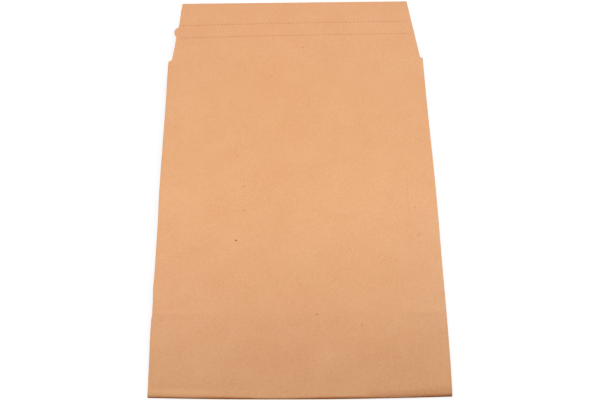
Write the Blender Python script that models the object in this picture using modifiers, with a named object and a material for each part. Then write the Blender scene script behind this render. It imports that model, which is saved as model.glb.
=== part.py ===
# Gusseted kraft mailing envelope, empty, lying plain face up with its closure flap open.
# One sheet of kraft paper is folded into front, side gussets, lapped back, bottom flap and closure flap.
# Two adhesive strips with their release liners lie under the closure flap.
# Units are metres. X runs across the envelope, Y from the bottom edge towards the flap, Z up.
# Distances called v are measured along Y from the outside of the bottom fold.
import math

import bmesh
import bpy
from mathutils import Matrix

# Body of the envelope
BODY_WIDTH = 0.250
BODY_LENGTH = 0.353
GUSSET_DEPTH = 0.025
THROAT_DROP = 0.0025
CORNER_INSET = 0.0010

# Paper and the way its layers lie on each other
PAPER = 0.00018
LAYER_GAP = 0.00014
LAYER_STEP = PAPER + LAYER_GAP
FOLD_RADIUS = LAYER_STEP / 2

# How far the springy gussets hold the front up, measured at the middle of its paper
PUFF_HEIGHT = 0.0088
PUFF_RISE = 0.170
FLAP_TIP_HEIGHT = 0.0062

# Closure flap
FLAP_LENGTH = 0.0755
FLAP_INSET_LEFT = 0.0037
FLAP_INSET_RIGHT = 0.0026
FLAP_TAPER_LEFT = 0.0066
FLAP_TAPER_RIGHT = 0.0081

# Tear strip between two rows of perforations, with its pull tab at the left edge
# A shallow relief notch above the tab lets a finger in under it
STRIP_START = 0.0305
STRIP_WIDTH = 0.0166
TAB_REACH = 0.0029
TAB_WIDTH = 0.0125
NOTCH_DEPTH = 0.0009
NOTCH_WIDTH = 0.0120
PERFORATION_PITCH = 0.0038
SLIT_LENGTH = 0.0020
SLIT_WIDTH = 0.0003
PERFORATION_MARGIN = 0.0050
PERFORATION_SKEW = math.radians(0.35)

# Back of the envelope
SEAM_LAP = 0.020
SEAM_EDGE_GAP = 0.0005
SEAM_JOG = 0.0020
SEAM_GLUE_INSET = 0.0040
BOTTOM_FLAP_LENGTH = 0.071
BOTTOM_FLAP_TAPER = 0.006
BOTTOM_GLUE_WIDTH = 0.018
BOTTOM_GLUE_INSET = 0.0025
BACK_DRAPE = 0.012

# Adhesive strips and release liners under the closure flap
ADHESIVE_WIDTH = 0.014
ADHESIVE_LENGTH = 0.212
ADHESIVE_THICKNESS = 0.00010
LINER_WIDTH = 0.020
LINER_LENGTH = 0.218
LINER_THICKNESS = 0.00010
STRIP_SEAT_GAP = 0.0003

# Fineness of the mesh
FOLD_SEGMENTS = 4
BOTTOM_FOLD_SEGMENTS = 6
FRONT_COLUMNS = 10
BODY_ROWS = 9
LOWER_ROWS = 6
TAB_ROWS = 8
NOTCH_ROWS = 6
FLAP_ROWS = 3

# Places that follow from the sizes above
TOTAL_LENGTH = BODY_LENGTH + FLAP_LENGTH
FLOOR_LAYER = PAPER / 2
BOTTOM_STACK = FLOOR_LAYER + 4 * LAYER_STEP
BOTTOM_FOLD_RADIUS = (BOTTOM_STACK - FLOOR_LAYER) / 2
BOTTOM_FOLD_CENTRE = BOTTOM_FOLD_RADIUS + PAPER / 2
SIDE_LAYERS_START = BOTTOM_FOLD_CENTRE + LAYER_STEP
THROAT = BODY_LENGTH - THROAT_DROP
HALF_WIDTH = BODY_WIDTH / 2
FOLD_CENTRE_X = HALF_WIDTH - PAPER / 2 - FOLD_RADIUS
FRONT_HALF = HALF_WIDTH - CORNER_INSET
TAB_START = BODY_LENGTH + STRIP_START - math.tan(PERFORATION_SKEW) * HALF_WIDTH
TAB_END = TAB_START + TAB_WIDTH
NOTCH_END = TAB_END + NOTCH_WIDTH


def clear_scene():
    """Remove whatever the file holds."""
    for item in list(bpy.data.objects):
        bpy.data.objects.remove(item, do_unlink=True)


def make_collection(name):
    """Add an empty collection to the scene."""
    collection = bpy.data.collections.new(name)
    bpy.context.scene.collection.children.link(collection)
    return collection


def make_material(name, colour, roughness):
    """A plain Principled material, none of them metal."""
    material = bpy.data.materials.new(name)
    material.use_nodes = True
    shader = material.node_tree.nodes["Principled BSDF"]
    shader.inputs["Base Color"].default_value = (*colour, 1.0)
    shader.inputs["Roughness"].default_value = roughness
    shader.inputs["Metallic"].default_value = 0.0
    return material


def along(v):
    """The Y of a place that lies v from the bottom fold. The object's middle is at Y zero."""
    return v - TOTAL_LENGTH / 2


def spread(start, end, count):
    """Evenly spaced values from start to end, count steps apart."""
    return [start + (end - start) * i / count for i in range(count + 1)]


def front_height(v):
    """Height of the front and closure flap: a quarter sine up from the bottom, then a slow parabola down."""
    run = v - BOTTOM_FOLD_CENTRE
    top = PUFF_RISE - BOTTOM_FOLD_CENTRE
    if run < top:
        return BOTTOM_STACK + (PUFF_HEIGHT - BOTTOM_STACK) * math.sin(math.pi / 2 * run / top)
    share = (v - PUFF_RISE) / (TOTAL_LENGTH - PUFF_RISE)
    return PUFF_HEIGHT - (PUFF_HEIGHT - FLAP_TIP_HEIGHT) * share**2


def back_height(v):
    """Height of the back: on the bottom flap first, then draped down to the floor."""
    share = (v - BOTTOM_FLAP_LENGTH) / BACK_DRAPE
    share = min(max(share, 0.0), 1.0)
    ease = (1 + math.cos(math.pi * share)) / 2
    return FLOOR_LAYER + LAYER_STEP * ease


def arc(centre, start, end):
    """Points on a fold's arc, between two angles in degrees."""
    points = []
    for angle in spread(start, end, FOLD_SEGMENTS):
        turn = math.radians(angle)
        points.append((centre[0] + FOLD_RADIUS * math.cos(turn), centre[1] + FOLD_RADIUS * math.sin(turn)))
    return points


def left_gusset(v):
    """The left side in section, from back to front: outer fold, inner fold, outer fold.

    The paper runs round three circles, and the straight runs are their common tangents.
    """
    low = back_height(v) + FOLD_RADIUS
    high = front_height(v) - FOLD_RADIUS
    half_rise = (high - low) / 2
    reach = GUSSET_DEPTH - 2 * FOLD_RADIUS
    inner_x = -FOLD_CENTRE_X + math.sqrt(reach**2 - half_rise**2)
    slope = math.degrees(math.atan2(half_rise, inner_x + FOLD_CENTRE_X))
    cross = math.degrees(math.asin(2 * FOLD_RADIUS / reach))
    out = slope - cross
    points = arc((-FOLD_CENTRE_X, low), 270, 90 + out)
    points += arc((inner_x, low + half_rise), out - 90, 90 - out)
    points += arc((-FOLD_CENTRE_X, high), 270 - out, 90)
    return points


def section(v):
    """The whole blank in section at v, from one edge of the back seam to the other.

    Returns the points and the first and last place of those that go on into the flaps.
    """
    floor = back_height(v)
    left_back = [(SEAM_LAP / 2, floor), (-SEAM_LAP / 2, floor), (-BODY_WIDTH / 4, floor)]
    gusset = left_gusset(v)
    mirrored = [(-x, z) for x, z in reversed(gusset)]
    front = [(x, front_height(v)) for x in spread(-FRONT_HALF, FRONT_HALF, FRONT_COLUMNS)]
    step_x = SEAM_LAP / 2 + SEAM_EDGE_GAP
    right_back = [(BODY_WIDTH / 4, floor), (step_x + SEAM_JOG, floor)]
    right_back += [(step_x, floor + LAYER_STEP), (-SEAM_LAP / 2, floor + LAYER_STEP)]
    first = len(left_back) + len(gusset)
    return left_back + gusset + front + mirrored + right_back, first, first + FRONT_COLUMNS


def lobe(v, start, end, lean):
    """A smooth rise and fall between two places. A lean under one puts its top nearer the start."""
    share = (v - start) / (end - start)
    if share <= 0 or share >= 1:
        return 0.0
    return math.sin(math.pi * share**lean)


def left_edge_relief(v):
    """How far the flap's left edge stands out: the tab's rounded nose, then the notch above it."""
    return TAB_REACH * lobe(v, TAB_START, TAB_END, 1.15) - NOTCH_DEPTH * lobe(v, TAB_END, NOTCH_END, 0.6)


def flap_edges(v):
    """Left and right edge of the closure flap at v."""
    share = (v - BODY_LENGTH) / FLAP_LENGTH
    left = -HALF_WIDTH + FLAP_INSET_LEFT + FLAP_TAPER_LEFT * share - left_edge_relief(v)
    right = HALF_WIDTH - FLAP_INSET_RIGHT - FLAP_TAPER_RIGHT * share
    return left, right


def closure_flap_rows():
    """Rows of points of the closure flap, from the mouth to the tip, closer together at the tab."""
    places = spread(BODY_LENGTH, TAB_START, FLAP_ROWS)
    places += spread(TAB_START, TAB_END, TAB_ROWS)[1:]
    places += spread(TAB_END, NOTCH_END, NOTCH_ROWS)[1:]
    places += spread(NOTCH_END, TOTAL_LENGTH, FLAP_ROWS)[1:]
    rows = []
    for v in places:
        left, right = flap_edges(v)
        rows.append([(x, along(v), front_height(v)) for x in spread(left, right, FRONT_COLUMNS)])
    return rows


def bottom_flap_rows():
    """Rows of points round the bottom fold and along the flap that is glued under the back."""
    rows = []
    middle = FLOOR_LAYER + BOTTOM_FOLD_RADIUS
    for angle in spread(90, 270, BOTTOM_FOLD_SEGMENTS):
        turn = math.radians(angle)
        v = BOTTOM_FOLD_CENTRE + BOTTOM_FOLD_RADIUS * math.cos(turn)
        z = middle + BOTTOM_FOLD_RADIUS * math.sin(turn)
        rows.append([(x, along(v), z) for x in spread(-FRONT_HALF, FRONT_HALF, FRONT_COLUMNS)])
    for v in spread(BOTTOM_FOLD_CENTRE, BOTTOM_FLAP_LENGTH, LOWER_ROWS // 2)[1:]:
        share = (v - BOTTOM_FOLD_CENTRE) / (BOTTOM_FLAP_LENGTH - BOTTOM_FOLD_CENTRE)
        half = FRONT_HALF - BOTTOM_FLAP_TAPER * share
        rows.append([(x, along(v), FLOOR_LAYER) for x in spread(-half, half, FRONT_COLUMNS)])
    return rows


def body_places():
    """Where the body's sections stand: close together where the back drapes off the bottom flap."""
    drape_end = BOTTOM_FLAP_LENGTH + BACK_DRAPE
    places = spread(SIDE_LAYERS_START, BOTTOM_FLAP_LENGTH, LOWER_ROWS)
    places += spread(BOTTOM_FLAP_LENGTH, drape_end, 3)[1:]
    places += spread(drape_end, THROAT, BODY_ROWS)[1:]
    return places


def bridge(mesh, one, other):
    """Quads between two rows of vertices."""
    for i in range(len(one) - 1):
        mesh.faces.new((one[i], one[i + 1], other[i + 1], other[i]))


def add_rows(mesh, rows, start=None):
    """Add rows of vertices, each bridged to the one before it, and give back the last row."""
    last = start
    for row in rows:
        verts = [mesh.verts.new(point) for point in row]
        if last is not None:
            bridge(mesh, last, verts)
        last = verts
    return last


def sheet_surface():
    """The middle surface of the folded sheet, as one open surface."""
    mesh = bmesh.new()
    last = None
    for v in body_places():
        points, first, end = section(v)
        verts = [mesh.verts.new((x, along(v), z)) for x, z in points]
        if last is None:
            add_rows(mesh, bottom_flap_rows(), verts[first : end + 1])
        else:
            bridge(mesh, last, verts)
        last = verts
    add_rows(mesh, closure_flap_rows(), last[first : end + 1])
    bmesh.ops.recalc_face_normals(mesh, faces=mesh.faces)
    return mesh


def object_from(mesh, name, collection):
    """Turn a bmesh into an object in a collection."""
    data = bpy.data.meshes.new(name)
    mesh.to_mesh(data)
    mesh.free()
    item = bpy.data.objects.new(name, data)
    collection.objects.link(item)
    return item


def thicken(item, thickness):
    """Give an open surface its wall, half of it on each side."""
    wall = item.modifiers.new("wall", "SOLIDIFY")
    wall.thickness = thickness
    wall.offset = 0.0
    wall.use_even_offset = True
    return wall


def hide_tool(item):
    """Show a cutting or joining body as wire only."""
    item.hide_render = True
    item.display_type = "WIRE"
    return item


def combine(item, tool, operation):
    """Cut a tool out of an item, or join it on."""
    step = item.modifiers.new(tool.name, "BOOLEAN")
    step.operation = operation
    step.solver = "EXACT"
    step.object = tool


def slit_cutters(collection):
    """One small box for each slit of the two perforation rows."""
    mesh = bmesh.new()
    low = FLAP_TIP_HEIGHT - PAPER
    high = PUFF_HEIGHT + PAPER
    size = Matrix.Diagonal((SLIT_LENGTH, SLIT_WIDTH, 2 * (high - low), 1.0))
    turn = Matrix.Rotation(PERFORATION_SKEW, 4, "Z")
    for distance in (STRIP_START, STRIP_START + STRIP_WIDTH):
        v = BODY_LENGTH + distance
        left, right = flap_edges(v)
        span = right - left - 2 * PERFORATION_MARGIN - SLIT_LENGTH
        count = int(span / PERFORATION_PITCH)
        start = (left + right - count * PERFORATION_PITCH) / 2
        for i in range(count + 1):
            x = start + i * PERFORATION_PITCH
            climb = math.tan(PERFORATION_SKEW) * x
            place = Matrix.Translation((x, along(v + climb), (low + high) / 2))
            bmesh.ops.create_cube(mesh, size=1.0, matrix=place @ turn @ size)
    return hide_tool(object_from(mesh, "slit_cutters", collection))


def seam_glue(collection):
    """The glue in the back's lapped seam, reaching half way into both layers."""
    mesh = bmesh.new()
    half = SEAM_LAP / 2 - SEAM_GLUE_INSET
    rows = []
    for v in body_places():
        v = min(max(v, SEAM_GLUE_INSET), THROAT - SEAM_GLUE_INSET)
        rows.append([(x, along(v), back_height(v) + LAYER_STEP / 2) for x in (-half, half)])
    add_rows(mesh, rows)
    item = object_from(mesh, "seam_glue", collection)
    thicken(item, LAYER_STEP)
    return hide_tool(item)


def bottom_glue(collection):
    """The band of glue that holds the bottom flap under the back."""
    mesh = bmesh.new()
    half = FRONT_HALF - BOTTOM_FLAP_TAPER - BOTTOM_GLUE_INSET
    middle = BOTTOM_FLAP_LENGTH - BOTTOM_GLUE_INSET - BOTTOM_GLUE_WIDTH / 2
    place = Matrix.Translation((0.0, along(middle), FLOOR_LAYER + LAYER_STEP / 2))
    size = Matrix.Diagonal((2 * half, BOTTOM_GLUE_WIDTH, LAYER_STEP, 1.0))
    bmesh.ops.create_cube(mesh, size=1.0, matrix=place @ size)
    return hide_tool(object_from(mesh, "bottom_glue", collection))


def make_sheet(parts, tools):
    """The folded sheet with its glued seams and its perforations."""
    sheet = object_from(sheet_surface(), "folded_kraft_sheet", parts)
    thicken(sheet, PAPER)
    combine(sheet, seam_glue(tools), "UNION")
    combine(sheet, bottom_glue(tools), "UNION")
    combine(sheet, slit_cutters(tools), "DIFFERENCE")
    sheet.data.materials.append(make_material("kraft_paper", (0.79, 0.42, 0.21), 0.85))


def make_strip(name, collection, middle, size, depth, material):
    """A thin strip that lies under the flap and follows its slope, depth below its paper's middle."""
    length, width, thickness = size
    mesh = bmesh.new()
    rows = []
    for v in (middle - width / 2, middle + width / 2):
        z = front_height(v) - depth
        rows.append([(x, along(v), z) for x in (-length / 2, length / 2)])
    add_rows(mesh, rows)
    item = object_from(mesh, name, collection)
    thicken(item, thickness)
    item.data.materials.append(material)


def make_closure(prefix, collection, middle):
    """One adhesive strip with its release liner, both centred at middle."""
    adhesive_depth = PAPER / 2 + STRIP_SEAT_GAP + ADHESIVE_THICKNESS / 2
    liner_depth = adhesive_depth + ADHESIVE_THICKNESS / 2 + STRIP_SEAT_GAP + LINER_THICKNESS / 2
    glue = make_material(prefix + "_adhesive", (0.86, 0.82, 0.70), 0.35)
    film = make_material(prefix + "_liner", (0.88, 0.87, 0.84), 0.40)
    size = (ADHESIVE_LENGTH, ADHESIVE_WIDTH, ADHESIVE_THICKNESS)
    make_strip(prefix + "_adhesive", collection, middle, size, adhesive_depth, glue)
    size = (LINER_LENGTH, LINER_WIDTH, LINER_THICKNESS)
    make_strip(prefix + "_liner", collection, middle, size, liner_depth, film)


def build():
    """Make the whole envelope."""
    clear_scene()
    parts = make_collection("kraft_envelope")
    tools = make_collection("cutting_and_joining_bodies")
    make_sheet(parts, tools)
    strip_end = STRIP_START + STRIP_WIDTH
    make_closure("seal", parts, BODY_LENGTH + (strip_end + FLAP_LENGTH) / 2)
    make_closure("return", parts, BODY_LENGTH + STRIP_START / 2)


build()
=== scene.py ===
# Gusseted kraft mailing envelope, empty, lying on its back with the closure flap open
# Metres: X runs across, Y from the bottom fold to the flap's tip, Z up; v is Y counted from the bottom fold
import math

import bpy
import numpy as np
from mathutils import Matrix, Vector


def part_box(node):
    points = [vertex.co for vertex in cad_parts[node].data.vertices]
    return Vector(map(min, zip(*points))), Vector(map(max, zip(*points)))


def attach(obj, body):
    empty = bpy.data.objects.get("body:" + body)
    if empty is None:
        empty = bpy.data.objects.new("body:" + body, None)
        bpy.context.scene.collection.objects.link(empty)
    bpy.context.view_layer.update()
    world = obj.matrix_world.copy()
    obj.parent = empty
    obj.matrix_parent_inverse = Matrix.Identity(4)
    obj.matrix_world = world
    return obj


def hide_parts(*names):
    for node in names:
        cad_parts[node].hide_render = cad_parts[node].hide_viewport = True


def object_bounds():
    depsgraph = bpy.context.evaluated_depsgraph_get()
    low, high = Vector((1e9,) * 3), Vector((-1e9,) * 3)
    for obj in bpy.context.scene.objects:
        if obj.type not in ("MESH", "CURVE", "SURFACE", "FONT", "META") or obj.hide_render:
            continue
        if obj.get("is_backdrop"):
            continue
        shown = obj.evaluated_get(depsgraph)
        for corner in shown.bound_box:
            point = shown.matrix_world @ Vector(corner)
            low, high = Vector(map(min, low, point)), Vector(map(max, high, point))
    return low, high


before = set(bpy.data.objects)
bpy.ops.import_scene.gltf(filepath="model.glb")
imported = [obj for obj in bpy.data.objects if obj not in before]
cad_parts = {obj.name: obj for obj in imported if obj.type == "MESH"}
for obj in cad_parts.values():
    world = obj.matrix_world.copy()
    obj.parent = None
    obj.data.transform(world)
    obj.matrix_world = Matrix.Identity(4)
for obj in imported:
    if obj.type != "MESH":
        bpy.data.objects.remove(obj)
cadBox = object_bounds()
print("frame loaded with", len(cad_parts), "nodes")

cameraSet = {
    "target": (-0.0217, -0.0217, 0.0),  # where the lens points, on the table
    "distance": 0.9675,
    "elevation": math.radians(57.16),
    "azimuth": math.radians(1.46),
    "roll": math.radians(-1.73),
    "lens": 63.96,  # mm
    "shiftX": 0.0443,
}


def makeCamera():
    # The back axis comes from azimuth and elevation; the other two are square to it and turned by the roll
    azimuth, elevation, roll = cameraSet["azimuth"], cameraSet["elevation"], cameraSet["roll"]
    flat = math.cos(elevation)
    back = Vector((math.sin(azimuth) * flat, -math.cos(azimuth) * flat, math.sin(elevation)))
    right = Vector((math.cos(azimuth), math.sin(azimuth), 0))
    up = back.cross(right)
    frameRight = right * math.cos(roll) + up * math.sin(roll)
    frameUp = up * math.cos(roll) - right * math.sin(roll)
    data = bpy.data.cameras.new("photoCamera")
    data.lens = cameraSet["lens"]
    data.shift_x = cameraSet["shiftX"]
    camera = bpy.data.objects.new("photoCamera", data)
    bpy.context.scene.collection.objects.link(camera)
    place = Vector(cameraSet["target"]) + back * cameraSet["distance"]
    turn = Matrix((frameRight, frameUp, back)).transposed()
    camera.matrix_world = Matrix.Translation(place) @ turn.to_4x4()
    bpy.context.scene.camera = camera


makeCamera()
print("camera placed")

# The folded sheet: its middle surface is worked out in grids and gets the paper's thickness at the end
sheetSet = {
    "paper": 0.00018,
    "layerStep": 0.00032,  # from one folded layer's middle to the next
    "flapLength": 0.0755,
    "throatDrop": 0.0025,  # how far the mouth lies below the closure flap's root at the left
    "mouthLift": 0.0019,  # how much less at the right
    "mouthLiftReach": 0.02,  # how far below the mouth the rows start to follow it
    "gussetDepth": 0.025,
    "gussetBow": 0.06,  # how much the gusset's runs bow, as a share of its half height
    "gussetBowStart": (0.02, 0.08),  # v where they start to bow, and where they bow in full
    "cornerInset": 0.00035,
    "puffRise": 0.170,  # v where the front stands highest
    "tipHeight": 0.0062,
    "reliefRoom": 0.00016,  # kept free at the top for the paper's waves
    "swell": (0.00015, 0.00028, 0.00023),  # quick rise at the bottom fold: all over, at corners, rightward
    "swellReach": 0.0006,
    "swellFade": 0.006,  # v where it starts to fade
    "bottomFlap": 0.071,  # its length from the bottom fold
    "bottomTaper": 0.006,
    "drape": 0.012,  # how far beyond the bottom flap the back reaches the table
    "seamLap": 0.020,
    "seamEdgeGap": 0.0005,
    "seamJog": 0.0020,
    "insets": (0.0035, 0.0026),  # the flap's root, in from the left and the right side
    "tapers": (0.0068, 0.0081),
    "tabStart": 0.0297,  # from the flap's root
    "tabReach": 0.0030,
    "tabWidth": 0.0125,
    "tabLean": 1.4,
    "notchDepth": 0.0006,
    "notchWidth": 0.0200,
    "notchLean": 0.5,
    "dipDepth": 0.0002,  # the edge's shallow dip below the tab
    "dipStart": 0.0070,
    "dipLean": 1.4,
    "lobeBluntness": 0.6,  # under one makes the tab, notch and dip blunter than half a sine
    "stripStart": 0.0305,  # from the flap's root to the lower row
    "stripWidth": 0.0166,
    "slitPitch": 0.0038,
    "slitLength": 0.0020,
    "slitWidth": 0.00018,
    "slitCount": 61,
    "slitSkew": math.radians(0.35),
    "rowBend": (0.018, -0.030),  # how steeply the rows bend down to the left, and left of which x
    "slitOffset": 0.00065,  # the lower row's slits against the flap's middle
    "upperShift": -0.0019,  # the upper row's slits against the lower row's
    "uncutSlits": [0, 4],  # places of the upper row that the die left uncut
    "askewMargin": 0.002,  # how far beyond both rows the mesh is just as askew as they are
    "flapRows": (14, 32, 16),  # below, between and above the perforation rows
    "tipSqueeze": 0.045,  # how much the mesh's columns close up from the upper row to the tapered tip
    "cornerSetBack": 0.0019,  # the bottom corners lie a little behind the bottom fold's middle
    "cornerLean": 0.0002,
    "setBackReach": 0.050,
    "sideDraws": ((0.0008, 0.150, 0.205), (0.0016, -0.050, 0.210)),  # depth, start and end, left and right
    "sideHumps": (  # depth, place and width of more of it, left and right
        ((-0.0005, 0.058, 0.018), (-0.0004, 0.100, 0.008), (0.0002, 0.0, 0.015), (0.0003, 0.290, 0.035)),
        ((0.0004, 0.125, 0.050), (0.0005, 0.0, 0.018), (0.0004, 0.295, 0.045)),
    ),
    "heldDraw": (0.0004, 0.0715, 0.0735, 0.012),  # left side above the bottom flap: depth, start, full, reach
    "sideWander": 0.00004,
    "wanderFull": 0.02,  # v where it is full
    "wanderWaves": ((0.037, 1.0, 1.0), (0.0158, 0.6, 2.1)),  # length of a radian, height, share of the phase
    "wanderPhases": ((0.0, 1.9), (0.7, 2.6)),  # back and front, on the left and on the right
    "foldSteps": 8,
    "runSteps": 5,
    "bottomFoldSteps": 14,
    "bodyRuns": ((0.006, 16), (0.014, 10), (0.030, 8), (0.062, 10), (0.086, 16)),  # v and rows up to it
    "upperRows": 86,  # from there to the mouth
    "underRun": (0.012, 5),
    "underRows": 16,  # from there to the bottom flap's edge
    "edgeColumns": (0, 0.03, 0.08, 0.16, 0.30, 0.50, 0.74),  # places on the way from an edge to the slits
    "lapColumns": 4,  # across the seam's lower layer, with one more across its upper one
    "backColumns": 8,  # from the seam to a side fold
    "sharpAngle": math.radians(40),
    # Painted shade on the bottom fold's outer face, and a softer one where it rolls over at the right
    "foldShadeWidth": 0.0009,
    "foldShadeWave": (0.45, 0.029, 0.094),  # how much that width varies, a widest x, and its wavelength
    "foldWaveStart": (-0.100, -0.075),  # x where the variation starts, and where it is full
    "rollShade": (0.22, 0.040, 0.075),  # depth of the softer painted shade at the right, x of start and full
    "rollReach": (0.0020, 0.0068, 0.12, 0.070),  # v where it fades and ends, and the end's growth past an x
}
lowCorner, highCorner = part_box("folded_kraft_sheet")
paper = sheetSet["paper"]
layerStep = sheetSet["layerStep"]
halfWidth = (highCorner.x - lowCorner.x) / 2
totalLength = highCorner.y - lowCorner.y
bodyLength = totalLength - sheetSet["flapLength"]
throat = bodyLength - sheetSet["throatDrop"]
floorLayer = lowCorner.z + paper / 2
bottomRadius = 2 * layerStep
bottomCentre = bottomRadius + paper / 2
bottomStack = floorLayer + 2 * bottomRadius
foldRadius = layerStep / 2
foldX = halfWidth - paper / 2 - foldRadius
frontHalf = halfWidth - sheetSet["cornerInset"]
puffHeight = highCorner.z - paper / 2 - sheetSet["reliefRoom"]
lowerRow = bodyLength + sheetSet["stripStart"]
upperRow = lowerRow + sheetSet["stripWidth"]
skew = math.tan(sheetSet["slitSkew"])
tabStart = bodyLength + sheetSet["tabStart"]
tabEnd = tabStart + sheetSet["tabWidth"]
notchEnd = tabEnd + sheetSet["notchWidth"]

reliefSet = {
    "broadWaves": [  # height, wavelength across, wavelength along, phase
        (0.000040, 0.31, 0.21, 1.1),
        (0.000035, 0.17, -0.26, 2.3),
        (0.000025, 0.12, 0.14, 0.4),
        (0.000020, -0.085, 0.19, 4.0),
    ],
    "cockleWaves": 16,
    "cockleLengths": (0.010, 0.034),
    "cockleSlope": 0.0016,  # steepness of the fine waves
    "seed": 5,
    "wavesStart": (0.002, 0.035),  # v where the waves start, and where they are full
    "gussetRidge": 0.00004,
    "gussetRidgeWidth": 0.0016,
    "gussetRidgeStart": (0.010, 0.060),
    "gussetRidgeEnd": 0.010,  # how far below the mouth it starts to fade
    "leftRidgeShare": 0.45,
    "rightRidgeShare": 0.35,
    "rightRidgeCrest": (0.190, 0.045),  # v and reach of the place where the right one is full
    "flapRidge": 0.00008,
    "flapRidgeWidth": 0.0022,
    "flapRidgePlace": 0.0042,  # beyond the bottom flap's edge
    "flapRidgeShare": 0.25,  # how much of it shows between the gussets
    "overGusset": (0.022, 0.004),  # inwards of the gussets' inner folds, where it starts to grow and is full
    "flapCrest": (0.00018, 0.0027, 0.022),  # height of the crest over all of it, place beyond the edge, reach
    "buckleMiddle": -0.096,  # x of the soft buckle at the lower left
    "buckleReach": 0.034,
    "buckleHeight": 0.00010,
    "buckleRidge": 0.0032,
    "buckleGroove": 0.0078,
    "buckleWidth": 0.0030,
    "buckleStart": 0.004,
    "sideRoll": 0.00012,
    "sideRollWidth": 0.0011,
    "sideRollStart": (0.004, 0.05),
    "sideRollEnd": 0.004,  # how far below the mouth it starts to fade
    "rowPress": 0.00002,
    "rowPressWidth": 0.0009,
    "backLift": 0.00022,
    "backFreeRun": 0.05,  # beyond the drape, over which the back comes free of the bottom flap
    "backSides": (0.055, 0.004),  # x where a side starts to hold it, and how near the fold it is held in full
    "backSeam": (0.012, 0.035),  # x up to which the seam holds it, and where it is free
    "backWaves": (0.018, 1.0, 0.041),  # length of a radian across, phase, length of a radian along
}


def ease(v, start, end):
    # Half a cosine wave, 0 at start and 1 at end, level on either side
    share = np.clip((v - start) / (end - start), 0, 1)
    return (1 - np.cos(np.pi * share)) / 2


def hump(v, middle, width):
    # Gaussian bell of height 1 about middle
    return np.exp(-(((v - middle) / width) ** 2))


def rowRise(x):
    # How much nearer the tip a perforation row lies at x than at its middle: a slope and a bend at the left
    bend, start = sheetSet["rowBend"]
    return skew * x - bend * np.clip(start - x, 0, None)


def frontBase(v):
    # A quarter sine up from the bottom fold to the highest place, then a slow parabola down to the flap's tip
    rise = np.clip((v - bottomCentre) / (sheetSet["puffRise"] - bottomCentre), 0, 1)
    fall = np.clip((v - sheetSet["puffRise"]) / (totalLength - sheetSet["puffRise"]), 0, 1)
    climbed = bottomStack + (puffHeight - bottomStack) * np.sin(np.pi / 2 * rise)
    return climbed - (puffHeight - sheetSet["tipHeight"]) * fall**2


def bottomSwell(x, v):
    # One less a decaying exponential from the bottom fold, highest at the corners, eased away towards the top
    level, corners, rightward = sheetSet["swell"]
    share = x / halfWidth
    height = level + corners * share**2 + rightward * share
    past = np.clip(v - bottomCentre, 0, None)
    fade = 1 - ease(v, sheetSet["swellFade"], sheetSet["puffRise"])
    return height * (1 - np.exp(-past / sheetSet["swellReach"])) * fade


def paperWaves(x, v):
    # Listed broad plane waves plus seeded fine ones, each a sine of a straight run across the sheet
    total = np.zeros(np.broadcast(x, v).shape)
    for height, across, along, phase in reliefSet["broadWaves"]:
        total += height * np.sin(2 * np.pi * (x / across + v / along) + phase)
    dice = np.random.default_rng(reliefSet["seed"])
    for _ in range(reliefSet["cockleWaves"]):
        length = dice.uniform(*reliefSet["cockleLengths"])
        heading = dice.uniform(0, np.pi)
        phase = dice.uniform(0, 2 * np.pi)
        height = reliefSet["cockleSlope"] * length / (2 * np.pi) / 4
        total += height * np.sin(2 * np.pi * (x * np.cos(heading) + v * np.sin(heading)) / length + phase)
    return total


def gussetShow(x, v):
    # The gussets' inner folds showing through: a bell across each that eases off towards both ends
    r = reliefSet
    gussetX = halfWidth - sheetSet["gussetDepth"]
    least = r["rightRidgeShare"]
    onRight = hump(x, gussetX, r["gussetRidgeWidth"]) * (least + (1 - least) * hump(v, *r["rightRidgeCrest"]))
    onLeft = hump(x, -gussetX, r["gussetRidgeWidth"]) * r["leftRidgeShare"]
    belowMouth = 1 - ease(v, throat - r["gussetRidgeEnd"], throat)
    return r["gussetRidge"] * (onLeft + onRight) * ease(v, *r["gussetRidgeStart"]) * belowMouth


def flapEdgeShow(x, v):
    # The bottom flap's edge showing through: a bell, strongest over the gussets, and a broad pointed crest
    r = reliefSet
    gussetX = halfWidth - sheetSet["gussetDepth"]
    start, full = r["overGusset"]
    overGusset = ease(np.abs(x), gussetX - start, gussetX - full)
    share = r["flapRidgeShare"] + (1 - r["flapRidgeShare"]) * overGusset
    beyond = v - sheetSet["bottomFlap"]
    ridge = r["flapRidge"] * hump(beyond, r["flapRidgePlace"], r["flapRidgeWidth"]) * share
    height, place, reach = r["flapCrest"]
    return ridge + height * np.exp(-np.abs(beyond - place) / reach)


def softBuckle(x, v):
    # A ridge and a groove side by side along the bottom fold, under a bell across the sheet
    r = reliefSet
    ridge = hump(v, r["buckleRidge"], r["buckleWidth"]) - hump(v, r["buckleGroove"], r["buckleWidth"])
    across = hump(x, r["buckleMiddle"], r["buckleReach"])
    return r["buckleHeight"] * across * ridge * ease(v, 0, r["buckleStart"])


def sideRollDown(x, v):
    # The front rolls down into its side folds by a decaying exponential of the way in from the side
    r = reliefSet
    fromSide = np.clip(frontHalf - np.abs(x), 0, None)
    roll = -r["sideRoll"] * np.exp(-fromSide / r["sideRollWidth"]) * ease(v, *r["sideRollStart"])
    return roll * (1 - ease(v, throat - r["sideRollEnd"], throat))


def frontRelief(x, v):
    # The paper's waves, all that shows through, the roll at the sides and two bells of pressed rows, added up
    waves = paperWaves(x, v) * ease(v, *reliefSet["wavesStart"])
    line = v - rowRise(x)
    width = reliefSet["rowPressWidth"]
    pressed = hump(line, lowerRow, width) + hump(line, upperRow, width)
    shows = gussetShow(x, v) + flapEdgeShow(x, v) + softBuckle(x, v) + sideRollDown(x, v)
    return waves + shows - reliefSet["rowPress"] * pressed


def frontHeight(x, v):
    # Middle of the front's and the closure flap's paper
    return frontBase(v) + bottomSwell(x, v) + frontRelief(x, v)


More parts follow.
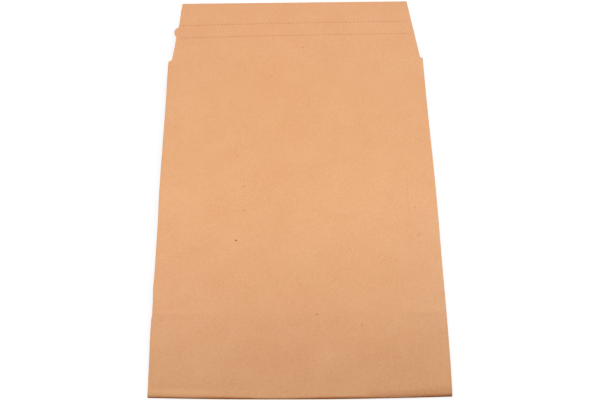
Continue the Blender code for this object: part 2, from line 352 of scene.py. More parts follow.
def backHeight(x, v):
    # The back lies on the bottom flap and drapes to the table beyond it. Where neither the seam nor a side
    # holds it, it lifts a little in waves, the product of two sines
    r = reliefSet
    drapeEnd = sheetSet["bottomFlap"] + sheetSet["drape"]
    resting = floorLayer + layerStep * (1 - ease(v, sheetSet["bottomFlap"], drapeEnd))
    sideStart, sideFull = r["backSides"]
    free = ease(v, drapeEnd, drapeEnd + r["backFreeRun"]) * (1 - ease(np.abs(x), sideStart, foldX - sideFull))
    free = free * ease(np.abs(x), *r["backSeam"])
    across, phase, along = r["backWaves"]
    lift = r["backLift"] * (1 + np.sin(x / across + phase) * np.sin(v / along)) / 2
    return resting + lift * free


def sideDraw(v, side, face):
    # How far a side fold of the back (face 0) or the front (face 1) lies inwards of its true line: half a
    # cosine, a few bells, a small step where the bottom flap ends on the left, and two slow sines
    which = 0 if side < 0 else 1
    depth, start, end = sheetSet["sideDraws"][which]
    draw = depth * (1 - ease(v, start, end))
    for humpDepth, place, width in sheetSet["sideHumps"][which]:
        draw = draw + humpDepth * hump(v, place, width)
    heldDepth, heldStart, heldFull, heldReach = sheetSet["heldDraw"]
    held = heldDepth * ease(v, heldStart, heldFull) * np.exp(-np.clip(v - heldFull, 0, None) / heldReach)
    phase = sheetSet["wanderPhases"][which][face]
    waves = sheetSet["wanderWaves"]
    wave = sum(height * np.sin(v / length + share * phase) for length, height, share in waves)
    wander = sheetSet["sideWander"] * (1 + wave / sum(height for _, height, _ in waves))
    return draw + held * (side < 0) + wander * ease(v, 0, sheetSet["wanderFull"])


def circlePart(centreX, centreZ, start, end):
    # Points of a fold's circle between two angles, one row for each v
    share = np.linspace(0, 1, sheetSet["foldSteps"] + 1)
    turn = start[:, None] + (end - start)[:, None] * share
    return centreX[:, None] + foldRadius * np.cos(turn), centreZ[:, None] + foldRadius * np.sin(turn)


def straightRun(before, after, bow):
    # Points between the end of one arc and the start of the next, bowed by half a sine
    share = np.linspace(0, 1, sheetSet["runSteps"] + 1)[1:-1]
    x = before[0][:, -1:] + (after[0][:, :1] - before[0][:, -1:]) * share
    z = before[1][:, -1:] + (after[1][:, :1] - before[1][:, -1:]) * share
    return x, z + bow[:, None] * np.sin(np.pi * share)


def gussetSection(v, side):
    # A gusset from back to front: three circles of one radius and their common tangents, slightly bowed. The
    # right one is mirrored and runs from front to back
    low = backHeight(np.full_like(v, side * foldX), v) + foldRadius
    high = frontHeight(np.full_like(v, side * frontHalf), v) - foldRadius
    backX = -foldX + sideDraw(v, side, 0)
    frontX = -foldX + sideDraw(v, side, 1)
    halfRise = (high - low) / 2
    reach = sheetSet["gussetDepth"] - 2 * foldRadius
    innerX = (backX + frontX) / 2 + np.sqrt(reach**2 - halfRise**2)
    slope = np.arctan2(halfRise, innerX - (backX + frontX) / 2)
    out = slope - math.asin(2 * foldRadius / reach)
    quarter = np.full_like(v, np.pi / 2)
    backFold = circlePart(backX, low, 3 * quarter, quarter + out)
    innerFold = circlePart(innerX, low + halfRise, out - quarter, quarter - out)
    frontFold = circlePart(frontX, high, 3 * quarter - out, quarter)
    bow = sheetSet["gussetBow"] * halfRise * ease(v, *sheetSet["gussetBowStart"])
    lowerRun = straightRun(backFold, innerFold, bow)
    upperRun = straightRun(innerFold, frontFold, -bow)
    parts = (backFold, lowerRun, innerFold, upperRun, frontFold)
    x = np.concatenate([part[0] for part in parts], axis=1)
    z = np.concatenate([part[1] for part in parts], axis=1)
    return (x, z) if side < 0 else (-x[:, ::-1], z[:, ::-1])


def slitEnds():
    # X of both ends of every slit of the lower row, evenly pitched
    left, right = flapEdges(np.array([lowerRow]), np.array([lowerRow]))
    about = (left + right) / 2 + sheetSet["slitOffset"]
    count = sheetSet["slitCount"]
    middles = (np.arange(count) - (count - 1) / 2) * sheetSet["slitPitch"]
    half = sheetSet["slitLength"] / 2
    return about + np.stack([middles - half, middles + half], axis=1).ravel()


def lobe(v, start, end, lean):
    # Half a sine between two places, raised to a power; a lean under one puts its top nearer the start
    share = np.clip((v - start) / (end - start), 0, 1)
    return np.clip(np.sin(np.pi * share**lean), 0, 1) ** sheetSet["lobeBluntness"]


def flapEdges(vLeft, vRight):
    # Straight tapering edges; on the left the tab's rounded nose stands out and a shallow notch lies above it
    tab = sheetSet["tabReach"] * lobe(vLeft, tabStart, tabEnd, sheetSet["tabLean"])
    notch = sheetSet["notchDepth"] * lobe(vLeft, tabEnd, notchEnd, sheetSet["notchLean"])
    dip = sheetSet["dipDepth"] * lobe(vLeft, bodyLength + sheetSet["dipStart"], tabStart, sheetSet["dipLean"])
    shareLeft = (vLeft - bodyLength) / sheetSet["flapLength"]
    shareRight = (vRight - bodyLength) / sheetSet["flapLength"]
    left = -halfWidth + sheetSet["insets"][0] + sheetSet["tapers"][0] * shareLeft - tab + notch + dip
    right = halfWidth - sheetSet["insets"][1] - sheetSet["tapers"][1] * shareRight
    return left, right


def frontColumns(left, right, shift=0, squeeze=1):
    # Columns on the slits' ends, times squeeze and moved by shift, and a few more towards each edge
    inner = slitEnds()[None, :] * (squeeze + 0 * left)[:, None] + (shift + 0 * left)[:, None]
    crowd = np.array(sheetSet["edgeColumns"])
    toLeft = left[:, None] + (inner[:, :1] - left[:, None]) * crowd
    toRight = right[:, None] + (inner[:, -1:] - right[:, None]) * crowd[::-1]
    return np.concatenate([toLeft, inner, toRight], axis=1)


def quads(index):
    # The face between each four neighbours of a grid of vertex numbers, kept in its grid
    return np.stack([index[:-1, :-1], index[:-1, 1:], index[1:, 1:], index[1:, :-1]], axis=-1)


def runs(*stops):
    # Places from the first stop on, evenly spaced within each (end, count) run
    places = [np.array([stops[0]])]
    for end, count in stops[1:]:
        places.append(np.linspace(places[-1][-1], end, count + 1)[1:])
    return np.concatenate(places)


def bodyGrid():
    # Whole sections from the back seam's outer edge round the left gusset, the front and the right gusset
    v = runs(bottomCentre + layerStep, *sheetSet["bodyRuns"], (throat, sheetSet["upperRows"]))
    ones = np.ones((len(v), 1))
    lap = sheetSet["seamLap"] / 2
    stepX = lap + sheetSet["seamEdgeGap"]
    jogX = stepX + sheetSet["seamJog"]
    lapColumns, backColumns = sheetSet["lapColumns"], sheetSet["backColumns"]
    underLap = np.linspace(lap, -lap, lapColumns + 1)
    overLap = np.linspace(stepX, -lap, lapColumns + 2)
    toJog = np.linspace(foldX, jogX, backColumns + 1)[1:]
    leftBack = ones * np.concatenate([underLap, -np.linspace(lap, foldX, backColumns + 1)[1:-1]])
    rightBack = ones * np.concatenate([toJog, overLap])
    onTop = np.concatenate([np.zeros_like(toJog), np.ones_like(overLap)])
    front = frontColumns(sideDraw(v, -1, 1) - frontHalf, frontHalf - sideDraw(v, 1, 1))
    leftX, leftZ = gussetSection(v, -1)
    rightX, rightZ = gussetSection(v, 1)
    x = np.concatenate([leftBack, leftX, front, rightX, rightBack], axis=1)
    backLeft = backHeight(leftBack, v[:, None])
    backRight = backHeight(rightBack, v[:, None]) + layerStep * onTop
    z = np.concatenate([backLeft, leftZ, frontHeight(front, v[:, None]), rightZ, backRight], axis=1)
    first = leftBack.shape[1] + leftX.shape[1]
    nearMouth = ease(v, throat - sheetSet["mouthLiftReach"], throat)[:, None]
    lift = sheetSet["mouthLift"] * (x / halfWidth + 1) / 2 * nearMouth
    return np.stack([x, v[:, None] + lift, z], axis=-1), first, first + front.shape[1]


def bottomGrid():
    # Half a circle round the bottom fold, then flat on the table to the bottom flap's tapered edge
    turn = np.linspace(np.pi / 2, 3 * np.pi / 2, sheetSet["bottomFoldSteps"] + 1)
    under = runs(bottomCentre, sheetSet["underRun"], (sheetSet["bottomFlap"], sheetSet["underRows"]))[1:]
    v = np.concatenate([bottomCentre + bottomRadius * np.cos(turn), under])
    z = np.concatenate([floorLayer + bottomRadius * (1 + np.sin(turn)), np.full_like(under, floorLayer)])
    share = np.clip((v - bottomCentre) / (sheetSet["bottomFlap"] - bottomCentre), 0, 1)
    half = frontHalf - sheetSet["bottomTaper"] * share * (np.arange(len(v)) >= len(turn))
    x = frontColumns(sideDraw(v, -1, 1) - half, half - sideDraw(v, 1, 1))
    return np.stack([x, v[:, None] + 0 * x, z[:, None] + 0 * x], axis=-1)


def flapGrid():
    # Rows from the flap's root to its tip, askew as the perforations are; the slits' cells stay open
    halfSlit = sheetSet["slitWidth"] / 2
    below, amid, above = sheetSet["flapRows"]
    stops = ((lowerRow - halfSlit, below), (lowerRow + halfSlit, 1), (upperRow - halfSlit, amid))
    v = runs(bodyLength, *stops, (upperRow + halfSlit, 1), (totalLength, above))
    margin = sheetSet["askewMargin"]
    between = ease(v, bodyLength, lowerRow - margin) * (1 - ease(v, upperRow + margin, totalLength))
    edgeX = halfWidth - sheetSet["insets"][0] - sheetSet["tapers"][0] / 2
    left, right = flapEdges(v + between * rowRise(-edgeX), v + between * rowRise(edgeX))
    shift = sheetSet["upperShift"] * ease(v, lowerRow, upperRow)
    squeeze = 1 - sheetSet["tipSqueeze"] * ease(v, upperRow, totalLength)
    x = frontColumns(left, right, shift, squeeze)
    place = v[:, None] + between[:, None] * rowRise(x)
    keep = np.ones((len(v) - 1, x.shape[1] - 1), bool)
    slits = len(sheetSet["edgeColumns"]) + 2 * np.arange(sheetSet["slitCount"])
    keep[below, slits] = False
    keep[below + 1 + amid, slits] = False
    keep[below + 1 + amid, slits[sheetSet["uncutSlits"]]] = True
    return np.stack([x, place, frontHeight(x, place)], axis=-1), keep


def meshObject(name, points, faces):
    # One mesh object from an array of points and one of four-cornered faces
    data = bpy.data.meshes.new(name)
    data.from_pydata(points.tolist(), [], faces.tolist())
    data.update()
    piece = bpy.data.objects.new(name, data)
    bpy.context.scene.collection.objects.link(piece)
    return piece


def thicken(piece, thickness):
    # Half the thickness on each side of the middle surface, as plain mesh, smooth but for its cut edges
    wall = piece.modifiers.new("wall", "SOLIDIFY")
    wall.thickness = thickness
    wall.offset = 0
    wall.use_even_offset = True
    ready = piece.evaluated_get(bpy.context.evaluated_depsgraph_get())
    solid = bpy.data.meshes.new_from_object(ready)
    piece.modifiers.clear()
    piece.data = solid
    solid.shade_smooth()
    solid.set_sharp_from_angle(angle=sheetSet["sharpAngle"])


def settle(points):
    # The bottom fold is very slightly bowed: its corners lie behind its middle, less and less further up
    x, v, z = points[:, 0], points[:, 1], points[:, 2]
    share = x / halfWidth
    bow = sheetSet["cornerSetBack"] * share**2 - sheetSet["cornerLean"] * share
    return np.stack([x, v + bow * (1 - ease(v, 0, sheetSet["setBackReach"])) + lowCorner.y, z], axis=1)


def foldShadeAt(points):
    # Painted shade: a bell across the bottom fold whose width follows a cosine along it, or a softer one on
    # the right
    x, v, z = points[:, 0], points[:, 1], points[:, 2]
    wave, widest, length = sheetSet["foldShadeWave"]
    wave = wave * ease(x, *sheetSet["foldWaveStart"])
    width = sheetSet["foldShadeWidth"] * (1 + wave * np.cos(2 * np.pi * (x - widest) / length))
    depth, start, full = sheetSet["rollShade"]
    fadeStart, fadeEnd, growth, growthStart = sheetSet["rollReach"]
    reach = fadeEnd + growth * np.clip(x - growthStart, 0, None)
    soft = depth * ease(x, start, full) * (1 - ease(v, fadeStart, reach)) * (z > floorLayer + bottomRadius)
    return np.maximum(hump(v, 0, width), soft)


def makeSheet():
    # The bottom and flap grids start on the body's own vertices, so the three are one surface
    body, first, end = bodyGrid()
    bottom = bottomGrid()
    flap, keep = flapGrid()
    bodyIndex = np.arange(body[..., 0].size).reshape(body.shape[:2])
    bottomIndex = bodyIndex.size + np.arange(bottom[..., 0].size).reshape(bottom.shape[:2])
    flapIndex = bodyIndex.size + bottomIndex.size + np.arange(flap[..., 0].size).reshape(flap.shape[:2])
    bottomIndex = np.concatenate([bodyIndex[:1, first:end], bottomIndex])[::-1]
    flapIndex = np.concatenate([bodyIndex[-1:, first:end], flapIndex])
    keep = np.concatenate([np.ones((1, keep.shape[1]), bool), keep])
    faces = [quads(bodyIndex).reshape(-1, 4), quads(bottomIndex).reshape(-1, 4), quads(flapIndex)[keep]]
    points = np.concatenate([grid.reshape(-1, 3) for grid in (body, bottom, flap)])
    piece = meshObject("kraftSheet", settle(points), np.concatenate(faces))
    # Painted shade of the bottom fold, kept on the points for the paper's material
    shade = piece.data.attributes.new("foldShade", "FLOAT", "POINT")
    shade.data.foreach_set("value", foldShadeAt(points))
    thicken(piece, paper)
    return piece


stripPoints = {"across": 9, "along": 110}


def stripAt(name, middle, size, depth):
    # A thin strip under the flap, depth below its paper's middle, that follows the flap's slope and waves
    length, width, thickness = size
    v = np.linspace(middle - width / 2, middle + width / 2, stripPoints["across"])
    x = np.linspace(-length / 2, length / 2, stripPoints["along"])
    acrossGrid, alongGrid = np.meshgrid(x, v)
    z = frontHeight(acrossGrid, alongGrid) - depth
    points = np.stack([acrossGrid, alongGrid + lowCorner.y, z], axis=-1).reshape(-1, 3)
    index = np.arange(len(points)).reshape(acrossGrid.shape)
    piece = meshObject(name, points, quads(index).reshape(-1, 4))
    thicken(piece, thickness)
    return piece


# Node helpers shared by the materials, and how they read a noise
noiseSet = {
    "roughness": 0.55,
    "mixSpan": (0.35, 0.65),  # of its value, over which one colour gives way to the other
    "glossSpan": (0.3, 0.7),  # of its value, over which the surface turns from smoothest to roughest
}


def addNode(tree, kind, values=None, links=None):
    # A node with its settings and plain inputs from values, and its other inputs linked from outputs
    made = tree.nodes.new(kind)
    for key, value in (values or {}).items():
        if isinstance(key, str) and hasattr(made, key):
            setattr(made, key, value)
        else:
            made.inputs[key].default_value = value
    for key, source in (links or {}).items():
        tree.links.new(source, made.inputs[key])
    return made


def newMaterial(name):
    # A material, its nodes, its shader and the object's own coordinates
    material = bpy.data.materials.new(name)
    material.use_nodes = True
    tree = material.node_tree
    place = addNode(tree, "ShaderNodeTexCoord").outputs["Object"]
    return material, tree, tree.nodes["Principled BSDF"], place


def noise(tree, place, scale, detail=2.0, stretch=None, turn=0.0):
    # Noise of the given features a metre; a stretch makes them longer along a turned X axis
    if stretch:
        values = {"Rotation": (0, 0, turn), "Scale": (1 / stretch, 1, 1)}
        place = addNode(tree, "ShaderNodeMapping", values, {"Vector": place}).outputs[0]
    values = {"Scale": scale, "Detail": detail, "Roughness": noiseSet["roughness"]}
    return addNode(tree, "ShaderNodeTexNoise", values, {"Vector": place}).outputs["Fac"]


def maths(tree, operation, first, second):
    # One Math node; a plain number is set on its socket
    values = {"operation": operation}
    links = {}
    for key, given in enumerate((first, second)):
        if isinstance(given, (int, float)):
            values[key] = given
        else:
            links[key] = given
    return addNode(tree, "ShaderNodeMath", values, links).outputs[0]


def vectorMaths(tree, operation, first, second):
    # One Vector Math node; a plain triple is set on its socket, and a vector is scaled by its second input
    values = {"operation": operation}
    links = {}
    for key, given in ((0, first), ("Scale" if operation == "SCALE" else 1, second)):
        if isinstance(given, tuple):
            values[key] = given
        else:
            links[key] = given
    return addNode(tree, "ShaderNodeVectorMath", values, links).outputs[0]


def ramp(tree, source, fromLow, fromHigh, toLow, toHigh):
    # Straight map of a value from one range to another, clamped
    values = {"From Min": fromLow, "From Max": fromHigh, "To Min": toLow, "To Max": toHigh}
    return addNode(tree, "ShaderNodeMapRange", values, {"Value": source}).outputs["Result"]


def awayFrom(tree, place, x, v):
    # Straight distance from a place on the front's paper
    z = float(frontHeight(np.array([x]), np.array([v]))[0])
    values = {"operation": "DISTANCE", 1: (x, v + lowCorner.y, z)}
    return addNode(tree, "ShaderNodeVectorMath", values, {0: place}).outputs["Value"]


def twoColours(tree, field, first, second):
    # Two plain colours mixed by a noise
    factor = ramp(tree, field, *noiseSet["mixSpan"], 0.0, 1.0)
    mix = addNode(tree, "ShaderNodeMix", {"data_type": "RGBA"}, {"Factor": factor})
    mix.inputs[6].default_value = first
    mix.inputs[7].default_value = second
    return mix.outputs[2]


def dress(tree, shader, settings, colour, gloss, height):
    # The shader's colour, a roughness that follows a noise between two settings, and bumps from a height
    tree.links.new(colour, shader.inputs["Base Color"])
    rough = ramp(tree, gloss, *noiseSet["glossSpan"], *settings["roughness"])
    tree.links.new(rough, shader.inputs["Roughness"])
    values = {"Strength": settings["bumpStrength"], "Distance": settings["bumpHeight"]}
    bump = addNode(tree, "ShaderNodeBump", values, {"Height": height})
    tree.links.new(bump.outputs[0], shader.inputs["Normal"])


kraftSet = {
    "yellowish": (0.806, 0.421, 0.199, 1),
    "pinkish": (0.816, 0.416, 0.209, 1),
    "hueScale": 230,
    "cloudScale": 42,
    "cloudDepth": 0.13,
    "mottleScale": 620,
    "mottleDepth": 0.24,
    "grainScale": 1400,
    "grainDepth": 0.43,
    "fibreScale": 2600,
    "fibreStretch": 14,
    "fibreTurns": (0.5, 1.7, 2.7),
    "fibreDepth": 0.11,
    "middles": (0.5, 0.6),  # the value that neither lightens nor darkens, of a plain noise and of the fibres
    "shadeTint": (0.58, 1.20, 1.70),  # how much red, green and blue take of every lighter and darker spot
    "patches": [  # x, v, reach and colour loss, a gain where it is below nought
        (-0.015, 0.275, 0.130, (0.01, 0.03, 0.09)),
        (-0.010, 0.034, 0.070, (0.01, 0.05, 0.025)),
        (-0.125, 0.085, 0.080, (-0.03, -0.025, -0.085)),
        (0.085, 0.014, 0.070, (0.035, 0.055, 0.05)),
        (0.130, 0.150, 0.070, (0.0, -0.03, -0.09)),
        (0.150, 0.075, 0.065, (0.0, -0.05, -0.18)),
        (-0.040, 0.500, 0.220, (-0.06, 0.0, 0.03)),
    ],
    "darkest": (0.02, 0.02, 0.02),
    "foldShade": (0.46, 0.78, 0.97),  # how much red, green and blue the bottom fold's outer face loses to painted shade
    "fleckScale": 75,
    "fleckShare": 0.30,  # how many of the pattern's cells hold a fleck
    "fleckSize": 0.022,
    "fleckDepth": 0.25,
    "roughness": (0.78, 0.90),
    "specular": 0.25,
    "bumpHeight": 0.00004,
    "bumpStrength": 0.35,
    "specks": [  # x, v, radius, depth: the darker shives on the front, and two light ones below nought
        (-0.0544, 0.1452, 0.00115, 0.76),
        (-0.0478, 0.1760, 0.0011, 0.27),
        (-0.0482, 0.2018, 0.0010, 0.32),
        (-0.0552, 0.2352, 0.0010, 0.28),
        (-0.0220, 0.3797, 0.0009, 0.40),
        (0.0077, 0.3674, 0.0010, 0.28),
        (0.0486, 0.3767, 0.0010, 0.34),
        (-0.0229, 0.3298, 0.0010, 0.16),
        (0.0151, 0.0736, 0.0012, 0.32),
        (0.0526, 0.0638, 0.0010, 0.22),
        (0.1048, 0.1783, 0.0010, 0.24),
        (0.1053, 0.1487, 0.0009, 0.32),
        (0.1064, 0.1503, 0.0009, 0.32),
        (0.0801, 0.1226, 0.0009, 0.15),
        (0.0365, 0.0971, 0.0011, -0.16),
        (-0.0131, 0.0026, 0.0010, -0.14),
    ],
    "speckCore": 0.4,  # share of its radius where a speck starts to fade
    "rimWidth": 0.0010,  # how far from its row's line the painted shade of the cuts and their pressed rims ends
    "rimShare": (0.16, 0.40),  # from a cut's middle, in pitches, where that shade starts to fade and ends
    "rimDepths": (0.17, 0.22),  # how dark that painted shade is on the lower and the upper row
    "rimEnds": ((-0.1160, -0.1156), (0.1145, 0.1155)),  # x between which the rows' ends fade, left and right
    "creaseStart": (0.0977, 0.1560),  # x and v of a faint line of painted shade along the right gusset's pressed inner fold
    "creaseEnd": (0.1003, 0.2220),
    "creaseWidth": 0.0005,
    "creaseDepth": 0.09,
    "creaseFade": 0.0132,  # way along it over which either end fades
}


def paintedCutShade(tree, x, y):
    # Painted shade of the cuts and their pressed rims: it falls off straight from either row's line and from
    # every cut's middle
    s = kraftSet
    bend, bendStart = sheetSet["rowBend"]
    bent = maths(tree, "MULTIPLY", maths(tree, "MAXIMUM", maths(tree, "SUBTRACT", bendStart, x), 0.0), bend)
    line = maths(tree, "ADD", maths(tree, "SUBTRACT", y, maths(tree, "MULTIPLY", x, skew)), bent)
    firstX = float(slitEnds()[:2].mean())
    total = None
    for row, shift, depth in zip((lowerRow, upperRow), (0.0, sheetSet["upperShift"]), s["rimDepths"]):
        away = maths(tree, "ABSOLUTE", maths(tree, "SUBTRACT", line, row + lowCorner.y), 0.0)
        near = ramp(tree, away, 0.0, s["rimWidth"], depth, 0.0)
        turns = maths(tree, "DIVIDE", maths(tree, "SUBTRACT", x, firstX + shift), sheetSet["slitPitch"])
        phase = maths(tree, "PINGPONG", turns, 0.5)
        part = maths(tree, "MULTIPLY", near, ramp(tree, phase, *s["rimShare"], 1.0, 0.0))
        total = part if total is None else maths(tree, "ADD", total, part)
    leftEnd = ramp(tree, x, *s["rimEnds"][0], 0.0, 1.0)
    rightEnd = ramp(tree, x, *s["rimEnds"][1], 1.0, 0.0)
    return maths(tree, "MULTIPLY", total, maths(tree, "MULTIPLY", leftEnd, rightEnd))


def paintedCreaseShade(tree, x, y):
    # Painted shade along one straight pressed line that fades out at both ends
    s = kraftSet
    (startX, startV), (endX, endV) = s["creaseStart"], s["creaseEnd"]
    v = maths(tree, "SUBTRACT", y, lowCorner.y + startV)
    lean = maths(tree, "MULTIPLY", v, (endX - startX) / (endV - startV))
    away = maths(tree, "ABSOLUTE", maths(tree, "SUBTRACT", maths(tree, "SUBTRACT", x, startX), lean), 0.0)
    near = ramp(tree, away, 0.0, s["creaseWidth"], s["creaseDepth"], 0.0)
    inLow = ramp(tree, v, 0.0, s["creaseFade"], 0.0, 1.0)
    inHigh = ramp(tree, v, endV - startV - s["creaseFade"], endV - startV, 1.0, 0.0)
    return maths(tree, "MULTIPLY", near, maths(tree, "MULTIPLY", inLow, inHigh))


def kraftPaper():
    # Two browns mixed by noise, times one plus tinted shares of cloud, mottle, grain and fibre noise, less
    # those of flecks, shives, the cuts' and a crease's painted shade, the soft patches and the bottom fold's
    # painted shade
    s = kraftSet
    material, tree, shader, place = newMaterial("kraftPaper")
    cloud = noise(tree, place, s["cloudScale"], 3)
    mottle = noise(tree, place, s["mottleScale"], 3)
    grain = noise(tree, place, s["grainScale"], 2)
    fibre = None
    for turn in s["fibreTurns"]:
        layer = noise(tree, place, s["fibreScale"], 1, s["fibreStretch"], turn)
        fibre = layer if fibre is None else maths(tree, "MAXIMUM", fibre, layer)
    shade = None
    plain, fibrous = s["middles"]
    layers = (
        (cloud, plain, s["cloudDepth"]),
        (mottle, plain, s["mottleDepth"]),
        (grain, plain, s["grainDepth"]),
        (fibre, fibrous, s["fibreDepth"]),
    )
    for field, middle, depth in layers:
        part = maths(tree, "MULTIPLY", maths(tree, "SUBTRACT", field, middle), depth)
        shade = part if shade is None else maths(tree, "ADD", shade, part)
    cells = addNode(tree, "ShaderNodeTexVoronoi", {"Scale": s["fleckScale"]}, {"Vector": place})
    chosen = addNode(tree, "ShaderNodeSeparateColor", None, {"Color": cells.outputs["Color"]}).outputs["Red"]
    reach = maths(tree, "MULTIPLY", ramp(tree, chosen, 1 - s["fleckShare"], 1.0, 0.0, 1.0), s["fleckSize"])
    inside = maths(tree, "LESS_THAN", cells.outputs["Distance"], reach)
    dark = maths(tree, "MULTIPLY", inside, s["fleckDepth"])
    for x, v, radius, depth in s["specks"]:
        spot = ramp(tree, awayFrom(tree, place, x, v), radius * s["speckCore"], radius, depth, 0.0)
        dark = maths(tree, "ADD", dark, spot)
    parts = addNode(tree, "ShaderNodeSeparateXYZ", None, {0: place})
    dark = maths(tree, "ADD", dark, paintedCutShade(tree, parts.outputs[0], parts.outputs[1]))
    dark = maths(tree, "ADD", dark, paintedCreaseShade(tree, parts.outputs[0], parts.outputs[1]))
    shade = maths(tree, "SUBTRACT", shade, dark)
    hue = twoColours(tree, noise(tree, place, s["hueScale"], 3), s["yellowish"], s["pinkish"])
    # The bottom fold's painted shade, read from the sheet's attribute
    fold = addNode(tree, "ShaderNodeAttribute", {"attribute_name": "foldShade"}).outputs["Fac"]
    share = vectorMaths(tree, "ADD", (1, 1, 1), vectorMaths(tree, "SCALE", s["shadeTint"], shade))
    for x, v, reach, loss in s["patches"]:
        patch = ramp(tree, awayFrom(tree, place, x, v), 0.0, reach, 1.0, 0.0)
        share = vectorMaths(tree, "SUBTRACT", share, vectorMaths(tree, "SCALE", loss, patch))
    share = vectorMaths(tree, "SUBTRACT", share, vectorMaths(tree, "SCALE", s["foldShade"], fold))
    share = vectorMaths(tree, "MAXIMUM", share, s["darkest"])
    shaded = vectorMaths(tree, "MULTIPLY", hue, share)
    shader.inputs["Specular IOR Level"].default_value = s["specular"]
    height = maths(tree, "ADD", maths(tree, "ADD", grain, fibre), mottle)
    dress(tree, shader, s, shaded, mottle, height)
    return material


linerSet = {
    "length": 0.218,
    "width": 0.020,
    "thickness": 0.00010,
    "white": (0.83, 0.83, 0.80, 1),
    "shade": (0.76, 0.76, 0.73, 1),
    "cloudScale": 260,
    "streakScale": 900,
    "streakStretch": 9,
    "roughness": (0.30, 0.42),
    "bumpHeight": 0.00003,
    "bumpStrength": 0.2,
}


def releaseLiner():
    # Siliconised white paper: faint cloudy fibre under a smooth, slightly uneven gloss
    s = linerSet
    material, tree, shader, place = newMaterial("releaseLiner")
    cloud = noise(tree, place, s["cloudScale"], 5)
    streak = noise(tree, place, s["streakScale"], 2, s["streakStretch"])
    dress(tree, shader, s, twoColours(tree, cloud, s["white"], s["shade"]), streak, cloud)
    return material


adhesiveSet = {
    "length": 0.212,
    "width": 0.014,
    "thickness": 0.00010,
    "thin": (0.84, 0.78, 0.62, 1),
    "thick": (0.78, 0.70, 0.50, 1),
    "streakScale": 1300,
    "streakStretch": 12,
    "craterScale": 2600,
    "roughness": (0.16, 0.34),
    "bumpHeight": 0.00003,
    "bumpStrength": 0.4,
}


def stripAdhesive():
    # A coated film: streaks along the strip where it lies thicker, wet-looking with small craters
    s = adhesiveSet
    material, tree, shader, place = newMaterial("stripAdhesive")
    streak = noise(tree, place, s["streakScale"], 3, s["streakStretch"])
    crater = noise(tree, place, s["craterScale"], 2)
    colour = twoColours(tree, streak, s["thin"], s["thick"])
    dress(tree, shader, s, colour, crater, maths(tree, "ADD", streak, crater))
    return material


def finishPiece(piece, material, node):
    # Its material, the node that it stands for and the one body
    piece.data.materials.clear()
    piece.data.materials.append(material)
    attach(piece, "root")
    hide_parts(node)
    print(piece.name, "made with", len(piece.data.polygons), "faces")


finishPiece(makeSheet(), kraftPaper(), "folded_kraft_sheet")
glueMaterial, linerMaterial = stripAdhesive(), releaseLiner()
for use in ("seal", "return"):
    glueLow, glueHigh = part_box(use + "_adhesive")
    linerLow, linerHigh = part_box(use + "_liner")
    middle = (glueLow.y + glueHigh.y) / 2 - lowCorner.y
    seat = float(frontBase(np.array([middle]))[0])
    strips = (("Adhesive", "_adhesive", adhesiveSet, glueLow, glueHigh, glueMaterial, "adhesive"),
              ("Liner", "_liner", linerSet, linerLow, linerHigh, linerMaterial, "release_liner"))
    for ending, node, sizes, low, high, material, slot in strips:
        depth = seat - (low.z + high.z) / 2
        size = (sizes["length"], sizes["width"], sizes["thickness"])
        finishPiece(stripAt(use + ending, middle, size, depth), material, use + node)

stageSet = {
    "size": 6.0,
    "depth": -0.0001,
    "white": (0.28, 0.28, 0.28, 1),
    "seenWhite": (0.31, 0.31, 0.31, 1),
    "seenGlow": (0.77, 1.0),  # near the object and far off
    "glowReach": (0.55, 1.2),  # distances from the middle over which it rises
    "paintedFlapBounce": (0.45, 0.20, 0.07, 1),  # painted warm bounce light from the paper, on the table in the shade under the flap
    "flapShade": ((0.1075, 0.1152), (-0.004, 0.004), (-0.022, -0.002)),  # where the painted warm bounce replaces the glow: |x|, from the root, from the tip
}


def seenDirectly(tree):
    # One for camera, glossy and transmission rays, nought for the light that bounces on to the object
    path = addNode(tree, "ShaderNodeLightPath")
    first = maths(tree, "MAXIMUM", path.outputs["Is Camera Ray"], path.outputs["Is Glossy Ray"])
    return maths(tree, "MAXIMUM", first, path.outputs["Is Transmission Ray"])


def underFlap(tree, place):
    # One on the table under the raised closure flap and nought outside, the product of three straight ramps
    across, root, tip = stageSet["flapShade"]
    parts = addNode(tree, "ShaderNodeSeparateXYZ", None, {0: place})
    rootY, tipY = bodyLength + lowCorner.y, highCorner.y
    inSides = ramp(tree, maths(tree, "ABSOLUTE", parts.outputs[0], 0.0), *across, 1.0, 0.0)
    pastRoot = ramp(tree, parts.outputs[1], rootY + root[0], rootY + root[1], 0.0, 1.0)
    beforeTip = ramp(tree, parts.outputs[1], tipY + tip[0], tipY + tip[1], 1.0, 0.0)
    return maths(tree, "MULTIPLY", inSides, maths(tree, "MULTIPLY", pastRoot, beforeTip))


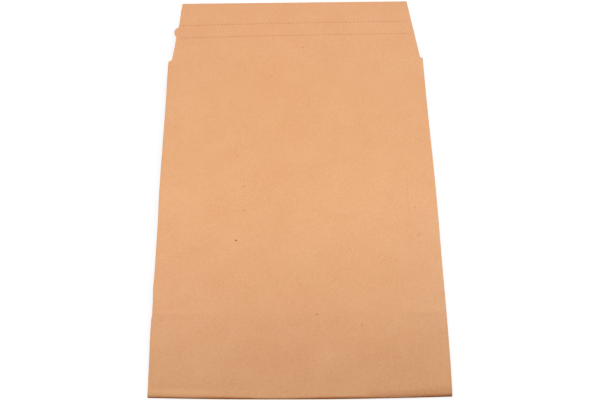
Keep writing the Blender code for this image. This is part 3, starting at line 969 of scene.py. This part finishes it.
def makeFloor():
    # A white table that shows as white and still takes the object's shadow; under the flap it drops its glow
    # and takes a painted warm bounce colour
    data = bpy.data.meshes.new("table")
    half = stageSet["size"] / 2
    corners = [(x * half, y * half, stageSet["depth"]) for x, y in ((-1, -1), (1, -1), (1, 1), (-1, 1))]
    data.from_pydata(corners, [], [(0, 1, 2, 3)])
    floor = bpy.data.objects.new("table", data)
    bpy.context.scene.collection.objects.link(floor)
    material, tree, shader, place = newMaterial("tableWhite")
    tree.nodes.remove(shader)
    lit = addNode(tree, "ShaderNodeBsdfDiffuse", {"Color": stageSet["white"]})
    seen = addNode(tree, "ShaderNodeBsdfDiffuse", {"Color": stageSet["seenWhite"]})
    far = addNode(tree, "ShaderNodeVectorMath", {"operation": "LENGTH"}, {0: place}).outputs["Value"]
    strength = ramp(tree, far, *stageSet["glowReach"], *stageSet["seenGlow"])
    glow = addNode(tree, "ShaderNodeEmission", None, {"Strength": strength})
    both = addNode(tree, "ShaderNodeAddShader", None, {0: seen.outputs[0], 1: glow.outputs[0]})
    # Under the flap: the real shadow, in a painted warm bounce colour
    paintedWarmBounce = addNode(tree, "ShaderNodeBsdfDiffuse", {"Color": stageSet["paintedFlapBounce"]})
    links = {0: underFlap(tree, place), 1: both.outputs[0], 2: paintedWarmBounce.outputs[0]}
    shaded = addNode(tree, "ShaderNodeMixShader", None, links)
    links = {0: seenDirectly(tree), 1: lit.outputs[0], 2: shaded.outputs[0]}
    mix = addNode(tree, "ShaderNodeMixShader", None, links)
    tree.links.new(mix.outputs[0], tree.nodes["Material Output"].inputs["Surface"])
    data.materials.append(material)
    floor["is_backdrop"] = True


lightSet = {
    "worldStrength": 0.12,
    "lamps": {
        "overhead": {"at": (-0.14, -0.07, 0.42), "aim": (-0.14, -0.07, 0.0), "power": 3.05},
        "farKey": {"at": (0.30, 1.60, 0.36), "aim": (0.0, 0.0, 0.0), "power": 39},
    },
    "lampSize": (1.6, 0.4),
}


def makeLamp(name, settings):
    # A soft rectangular lamp that points from its place at its aim
    data = bpy.data.lights.new(name, "AREA")
    data.shape = "RECTANGLE"
    data.size, data.size_y = lightSet["lampSize"]
    data.energy = settings["power"]
    lamp = bpy.data.objects.new(name, data)
    bpy.context.scene.collection.objects.link(lamp)
    lamp.visible_camera = False
    place = Vector(settings["at"])
    turn = (Vector(settings["aim"]) - place).to_track_quat("-Z", "Y")
    lamp.matrix_world = Matrix.Translation(place) @ turn.to_matrix().to_4x4()


def makeWorld():
    # Even light from all round, and plain white where it is seen itself
    world = bpy.data.worlds.new("studio")
    world.use_nodes = True
    bpy.context.scene.world = world
    tree = world.node_tree
    background = tree.nodes["Background"]
    background.inputs["Color"].default_value = (1, 1, 1, 1)
    level = ramp(tree, seenDirectly(tree), 0.0, 1.0, lightSet["worldStrength"], 1.0)
    tree.links.new(level, background.inputs["Strength"])


makeFloor()
for lampName, lampSettings in lightSet["lamps"].items():
    makeLamp(lampName, lampSettings)
makeWorld()
bpy.context.scene.view_settings.view_transform = "Standard"
print("stage and lamps made")

sizes = {"cad": [list(corner) for corner in cadBox], "visual": [list(corner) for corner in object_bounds()]}
